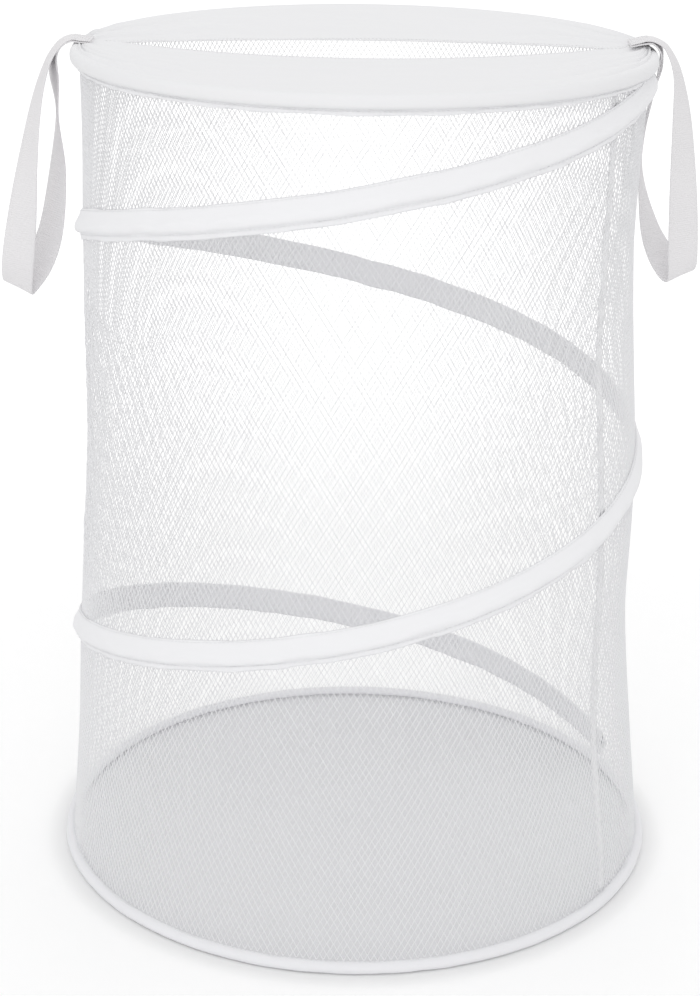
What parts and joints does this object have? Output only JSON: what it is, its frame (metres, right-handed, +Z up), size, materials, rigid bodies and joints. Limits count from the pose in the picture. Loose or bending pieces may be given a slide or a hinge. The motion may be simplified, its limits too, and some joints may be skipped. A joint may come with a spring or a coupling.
{
  "type": "pop-up laundry hamper",
  "caption": "Pop-up laundry hamper: a net cylinder held open by a taped steel spiral, with a slit fabric top, a fabric floor and webbing loop handles.",
  "frame": {"origin": "centre of the floor panel's underside, on the ground", "axes": "+Z up along the hamper's height, -Y the front, the slit and the handles lie along X"},
  "size_m": [0.5278, 0.4654, 0.6399],
  "materials": {
    "flap_fabric": "matt smooth coated cloth",
    "tape": "matt folded tape, a little translucent",
    "piping": "matt thin piping",
    "net": "matt knitted diamond net",
    "floor_fabric": "matt coated cloth",
    "webbing": "matt woven webbing with cross ribs",
    "thread": "matt sewing thread",
    "steel_wire": "plain spring steel wire, hidden in the casings"
  },
  "bodies": {
    "base": {"base_panel": "floor_fabric", "base_hoop_casing": "piping", "base_hoop_wire": "steel_wire", "base_hoop_ferrule": "steel_wire", "mesh_wall": "net", "mesh_side_seam": "tape", "spiral_wire": "steel_wire", "spiral_casing": "tape", "spiral_lower_end_cap": "steel_wire"},
    "top": {"top_hoop_casing": "tape", "top_hoop_wire": "steel_wire", "top_hoop_ferrule": "steel_wire", "front_top_flap": "flap_fabric", "back_top_flap": "flap_fabric", "front_hem_stitching": "thread", "back_hem_stitching": "thread", "left_handle_tab": "webbing", "right_handle_tab": "webbing", "left_handle_stitching": "thread", "right_handle_stitching": "thread", "spiral_upper_end_cap": "steel_wire"},
    "left_handle": {"left_handle_strap": "webbing"},
    "right_handle": {"right_handle_strap": "webbing"}
  },
  "joints": [
    {"name": "collapse", "type": "slide", "parent": "base", "child": "top", "axis": [0, 0, -1], "range_m": [0, 0.56], "stiffness_N_per_m": 15, "springref_m": -0.3, "deforming": ["mesh_wall", "mesh_side_seam", "spiral_wire", "spiral_casing"]},
    {"name": "left_handle_swing", "type": "hinge", "parent": "top", "child": "left_handle", "pos_m": [-0.233, 0, 0.6362], "axis": [0, 1, 0], "range_deg": [0, 180]},
    {"name": "right_handle_swing", "type": "hinge", "parent": "top", "child": "right_handle", "pos_m": [0.233, 0, 0.6362], "axis": [0, -1, 0], "range_deg": [0, 180]}
  ]
}
